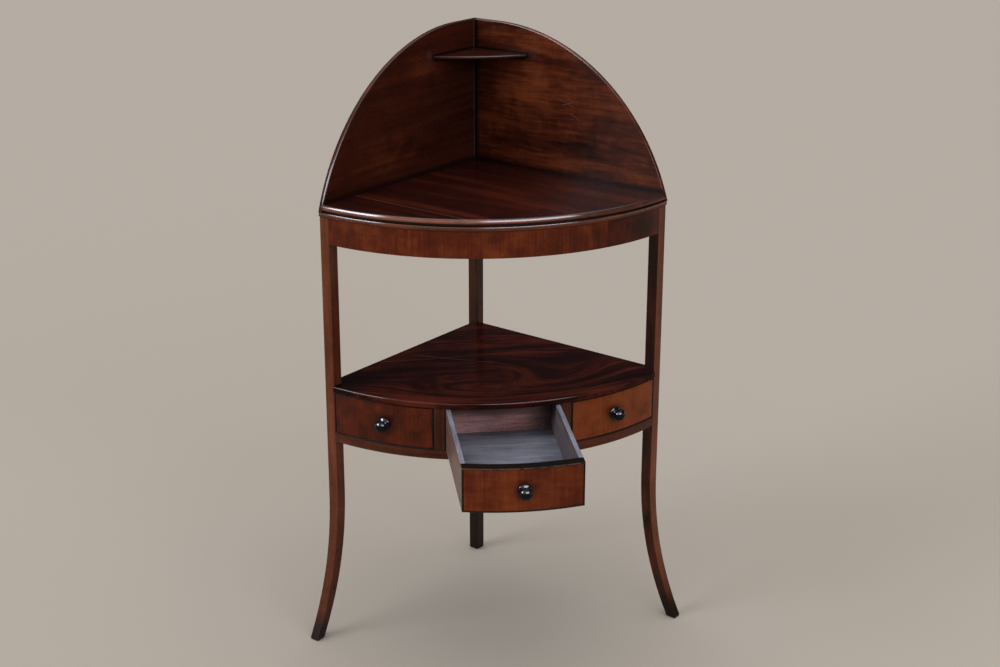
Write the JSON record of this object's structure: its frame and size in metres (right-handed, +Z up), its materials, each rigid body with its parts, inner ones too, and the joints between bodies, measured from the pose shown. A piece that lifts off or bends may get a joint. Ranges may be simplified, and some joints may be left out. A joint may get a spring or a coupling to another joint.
{
  "type": "corner washstand",
  "caption": "Bow-front corner washstand in mahogany: arched splash panels with soap shelf, solid top, lower deck, sliding middle drawer between two fixed fronts, splayed front legs.",
  "frame": {"origin": "centre of the underside of the rear corner leg's foot, on the floor", "axes": "+Z up; -Y towards the bowed front; +X to the right seen from the front; the two room walls run from the origin at 45 degrees to each side"},
  "size_m": [0.6964, 0.7084, 1.082],
  "materials": {
    "mahogany_top": "dark red-brown polished mahogany, high gloss",
    "mahogany_splash": "red-brown polished mahogany with level grain, gloss",
    "mahogany_frame": "solid mahogany, upright grain, worn polish",
    "mahogany_veneer": "orange-brown mahogany veneer, polished",
    "ebonised_wood": "black-stained wood, polished",
    "drawer_lining": "bare aged wood, grey-brown and dry",
    "carcass_wood": "bare pine, dry",
    "screw_steel": "dull old steel"
  },
  "bodies": {
    "stand": {"front_left_leg": "mahogany_frame", "front_right_leg": "mahogany_frame", "rear_leg": "mahogany_frame", "bow_rail": "mahogany_frame", "divider_left": "mahogany_frame", "divider_right": "mahogany_frame", "rear_rail_left": "carcass_wood", "rear_rail_right": "carcass_wood", "case_side_left": "carcass_wood", "case_side_right": "carcass_wood", "frieze_rail": "carcass_wood", "drawer_runner_left": "carcass_wood", "drawer_runner_right": "carcass_wood", "drawer_guide_left": "carcass_wood", "drawer_guide_right": "carcass_wood", "drawer_stop_left": "carcass_wood", "drawer_stop_right": "carcass_wood", "top_glue_block_left": "carcass_wood", "top_glue_block_right": "carcass_wood", "deck_glue_block_left": "carcass_wood", "deck_glue_block_right": "carcass_wood", "frieze_veneer_left": "mahogany_veneer", "frieze_veneer_middle": "mahogany_veneer", "frieze_veneer_right": "mahogany_veneer", "dummy_front_left": "mahogany_veneer", "dummy_front_right": "mahogany_veneer", "under_top": "mahogany_top", "top_board_main": "mahogany_top", "top_board_end": "mahogany_top", "deck_board": "mahogany_top", "splash_panel_left": "mahogany_splash", "splash_panel_right": "mahogany_splash", "soap_shelf": "mahogany_splash", "dummy_left_bead_top": "ebonised_wood", "dummy_left_bead_bottom": "ebonised_wood", "dummy_left_bead_left": "ebonised_wood", "dummy_left_bead_right": "ebonised_wood", "dummy_right_bead_top": "ebonised_wood", "dummy_right_bead_bottom": "ebonised_wood", "dummy_right_bead_left": "ebonised_wood", "dummy_right_bead_right": "ebonised_wood", "dummy_knob_left": "ebonised_wood", "dummy_knob_right": "ebonised_wood", "splash_screw_left_1": "screw_steel", "splash_screw_left_2": "screw_steel", "splash_screw_right_1": "screw_steel", "splash_screw_right_2": "screw_steel", "splash_screw_corner_1": "screw_steel", "splash_screw_corner_2": "screw_steel"},
    "drawer": {"drawer_front": "mahogany_veneer", "drawer_side_left": "drawer_lining", "drawer_side_right": "drawer_lining", "drawer_back": "drawer_lining", "drawer_bottom": "drawer_lining", "drawer_knob": "ebonised_wood", "drawer_bead_top": "ebonised_wood", "drawer_bead_bottom": "ebonised_wood", "drawer_bead_left": "ebonised_wood", "drawer_bead_right": "ebonised_wood"}
  },
  "joints": [
    {"name": "drawer_slide", "type": "slide", "parent": "stand", "child": "drawer", "axis": [0, -1, 0], "range_m": [-0.25, 0.03]}
  ]
}
